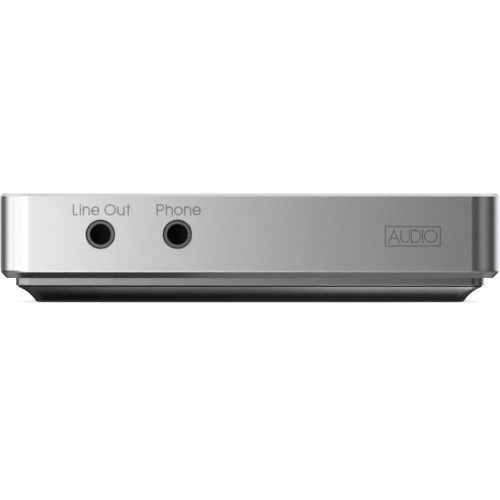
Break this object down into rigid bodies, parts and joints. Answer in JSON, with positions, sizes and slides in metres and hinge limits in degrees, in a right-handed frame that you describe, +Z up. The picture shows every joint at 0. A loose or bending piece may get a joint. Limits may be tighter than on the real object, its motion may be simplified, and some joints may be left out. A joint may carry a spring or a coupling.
{
  "type": "desktop digital-to-analogue converter",
  "caption": "Slim metal desktop DAC and headphone amplifier with round 3.5 mm jacks on a plug-in front amplifier card, a stepped dark base and rear digital inputs.",
  "frame": {"origin": "centre of the footprint, on the surface the part stands on", "axes": "-Y out of the face with the analogue jacks, +X to the side with the push buttons, +Z up"},
  "size_m": [0.088, 0.112, 0.0192],
  "materials": {
    "bead_blasted_aluminium": "bead-blasted satin",
    "top_plate_finish": "fine matt coating",
    "grey_tray": "satin anodised",
    "dark_anodised_base": "satin moulded",
    "mat_rubber": "matt, fine grain",
    "screw_steel": "black-nickel plated",
    "silver_screw_steel": "machined",
    "jack_ferrule": "satin nickel",
    "black_moulding": "moulded",
    "contact_metal": "gold-flashed",
    "board_mask": "solder mask",
    "chip_epoxy": "moulded epoxy",
    "film_case": "moulded",
    "relay_case": "moulded",
    "ceramic_white": "printed resistor body",
    "metal_can": "plated",
    "can_sleeve": "drawn can",
    "ferrite": "pressed ferrite",
    "light_guide": "clear acrylic",
    "led_body": "diffusing resin",
    "rear_plate": "fine matt coating",
    "rail_steel": "zinc plated"
  },
  "bodies": {
    "main_body": {"body_shell": "bead_blasted_aluminium", "top_plate": "top_plate_finish", "status_light_pipe": "light_guide", "status_led": "led_body", "body_tray": "grey_tray", "body_base_cover": "dark_anodised_base", "body_base_mat": "mat_rubber", "body_base_screws": "screw_steel", "main_board": "board_mask", "main_board_screws": "silver_screw_steel", "dac_chip": "chip_epoxy", "usb_receiver_chip": "chip_epoxy", "clock_oscillators": "metal_can", "power_capacitors": "can_sleeve", "coupling_capacitors": "can_sleeve", "power_inductors": "ferrite", "voltage_regulators": "chip_epoxy", "shield_can": "metal_can", "body_socket": "black_moulding", "guide_rails": "rail_steel", "guide_rail_screws": "silver_screw_steel", "digital_in_jack_ferrule": "jack_ferrule", "digital_in_jack_housing": "black_moulding", "digital_in_jack_contacts": "contact_metal", "rear_panel": "rear_plate", "rear_panel_screws": "screw_steel", "usb_port_shell": "metal_can", "usb_port_tongue": "black_moulding", "gain_switch_body": "metal_can", "tact_switches": "black_moulding"},
    "amplifier_card": {"card_shell": "bead_blasted_aluminium", "card_tray": "grey_tray", "card_base_cover": "dark_anodised_base", "card_base_mat": "mat_rubber", "card_base_screws": "screw_steel", "amplifier_board": "board_mask", "amplifier_board_screws": "silver_screw_steel", "line_out_jack_ferrule": "jack_ferrule", "line_out_jack_housing": "black_moulding", "line_out_jack_contacts": "contact_metal", "phone_jack_ferrule": "jack_ferrule", "phone_jack_housing": "black_moulding", "phone_jack_contacts": "contact_metal", "amplifier_chips": "chip_epoxy", "film_capacitors": "film_case", "output_relays": "relay_case", "amplifier_resistors": "ceramic_white", "card_plug": "black_moulding", "card_plug_pins": "contact_metal", "lock_screws": "screw_steel", "lock_nuts": "silver_screw_steel"},
    "volume_up_button": {"volume_up_button": "bead_blasted_aluminium", "volume_up_plunger": "black_moulding"},
    "volume_down_button": {"volume_down_button": "bead_blasted_aluminium", "volume_down_plunger": "black_moulding"},
    "power_button": {"power_button": "bead_blasted_aluminium", "power_plunger": "black_moulding"},
    "gain_slider": {"gain_slider": "black_moulding"}
  },
  "joints": [
    {"name": "amplifier_card_slide", "type": "slide", "parent": "main_body", "child": "amplifier_card", "axis": [0, -1, 0], "range_m": [0, 0.015]},
    {"name": "volume_up_press", "type": "slide", "parent": "main_body", "child": "volume_up_button", "axis": [-1, 0, 0], "range_m": [0, 0.0003], "stiffness_N_per_m": 1500, "springref_m": -0.0002},
    {"name": "volume_down_press", "type": "slide", "parent": "main_body", "child": "volume_down_button", "axis": [-1, 0, 0], "range_m": [0, 0.0003], "stiffness_N_per_m": 1500, "springref_m": -0.0002},
    {"name": "power_press", "type": "slide", "parent": "main_body", "child": "power_button", "axis": [-1, 0, 0], "range_m": [0, 0.0003], "stiffness_N_per_m": 1500, "springref_m": -0.0002},
    {"name": "gain_slide", "type": "slide", "parent": "main_body", "child": "gain_slider", "axis": [1, 0, 0], "range_m": [0, 0.002]}
  ]
}
